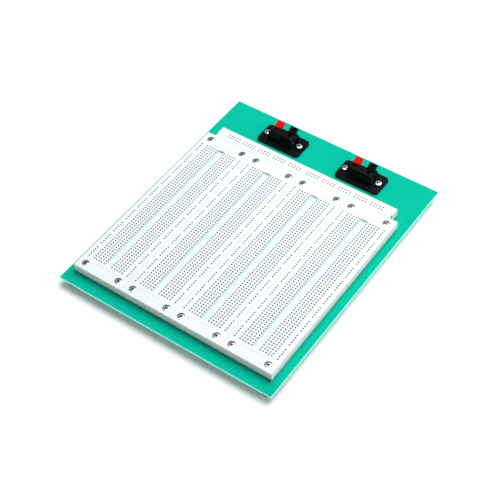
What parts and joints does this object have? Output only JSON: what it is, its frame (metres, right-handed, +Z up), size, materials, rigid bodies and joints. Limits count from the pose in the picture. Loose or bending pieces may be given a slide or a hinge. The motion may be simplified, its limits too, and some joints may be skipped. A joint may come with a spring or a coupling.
{
  "type": "solderless breadboard",
  "caption": "Row of socket boards with a supply strip on a green metal base plate, fed by two pairs of red and black spring-lever terminals at the rear.",
  "frame": {"origin": "on the bench, under the middle of the base plate", "axes": "+Z up; +X to the right along the front edge; +Y along the boards, from the front edge towards the terminals"},
  "size_m": [0.1986, 0.239, 0.0239],
  "materials": {
    "base_plate": "smooth green powder paint, satin",
    "boards": "white moulded ABS, satin",
    "foam_tape": "grey double-sided foam tape",
    "black_plastic": "black moulded plastic, semi-gloss",
    "red_plastic": "red moulded plastic, semi-gloss",
    "feet": "black rubber",
    "screws": "bright zinc or nickel plated steel",
    "contacts": "tinned phosphor bronze spring strip"
  },
  "bodies": {
    "base": {"base_plate": "base_plate", "board_1": "boards", "board_1_left_clip": "contacts", "board_1_right_clip": "contacts", "board_1_screw_1": "screws", "board_1_screw_2": "screws", "board_1_screw_3": "screws", "board_1_screw_4": "screws", "board_1_tape": "foam_tape", "board_2": "boards", "board_2_left_clip": "contacts", "board_2_right_clip": "contacts", "board_2_screw_1": "screws", "board_2_screw_2": "screws", "board_2_screw_3": "screws", "board_2_screw_4": "screws", "board_2_tape": "foam_tape", "board_3": "boards", "board_3_left_clip": "contacts", "board_3_right_clip": "contacts", "board_3_screw_1": "screws", "board_3_screw_2": "screws", "board_3_screw_3": "screws", "board_3_screw_4": "screws", "board_3_tape": "foam_tape", "board_4": "boards", "board_4_left_clip": "contacts", "board_4_right_clip": "contacts", "board_4_screw_1": "screws", "board_4_screw_2": "screws", "board_4_screw_3": "screws", "board_4_screw_4": "screws", "board_4_tape": "foam_tape", "foot_front_left": "feet", "foot_front_right": "feet", "foot_rear_left": "feet", "foot_rear_right": "feet", "left_black_contact": "contacts", "left_red_contact": "contacts", "left_terminal_housing": "black_plastic", "left_terminal_screw_1": "screws", "left_terminal_screw_2": "screws", "right_black_contact": "contacts", "right_red_contact": "contacts", "right_terminal_housing": "black_plastic", "right_terminal_screw_1": "screws", "right_terminal_screw_2": "screws", "supply_strip": "boards", "supply_strip_front_clip": "contacts", "supply_strip_rear_clip": "contacts", "supply_strip_tape": "foam_tape"},
    "left_red_lever": {"left_red_lever": "red_plastic"},
    "left_black_lever": {"left_black_lever": "black_plastic"},
    "right_red_lever": {"right_red_lever": "red_plastic"},
    "right_black_lever": {"right_black_lever": "black_plastic"}
  },
  "joints": [
    {"name": "left_red_lever_press", "type": "hinge", "parent": "base", "child": "left_red_lever", "pos_m": [-0.0446, 0.1012, 0.0146], "axis": [-1, 0, 0], "range_deg": [0, 15], "stiffness_Nm_per_rad": 0.15, "springref_deg": -8.59},
    {"name": "left_black_lever_press", "type": "hinge", "parent": "base", "child": "left_black_lever", "pos_m": [-0.0314, 0.1012, 0.0146], "axis": [-1, 0, 0], "range_deg": [0, 15], "stiffness_Nm_per_rad": 0.15, "springref_deg": -8.59},
    {"name": "right_red_lever_press", "type": "hinge", "parent": "base", "child": "right_red_lever", "pos_m": [0.0328, 0.1012, 0.0146], "axis": [-1, 0, 0], "range_deg": [0, 15], "stiffness_Nm_per_rad": 0.15, "springref_deg": -8.59},
    {"name": "right_black_lever_press", "type": "hinge", "parent": "base", "child": "right_black_lever", "pos_m": [0.046, 0.1012, 0.0146], "axis": [-1, 0, 0], "range_deg": [0, 15], "stiffness_Nm_per_rad": 0.15, "springref_deg": -8.59}
  ]
}
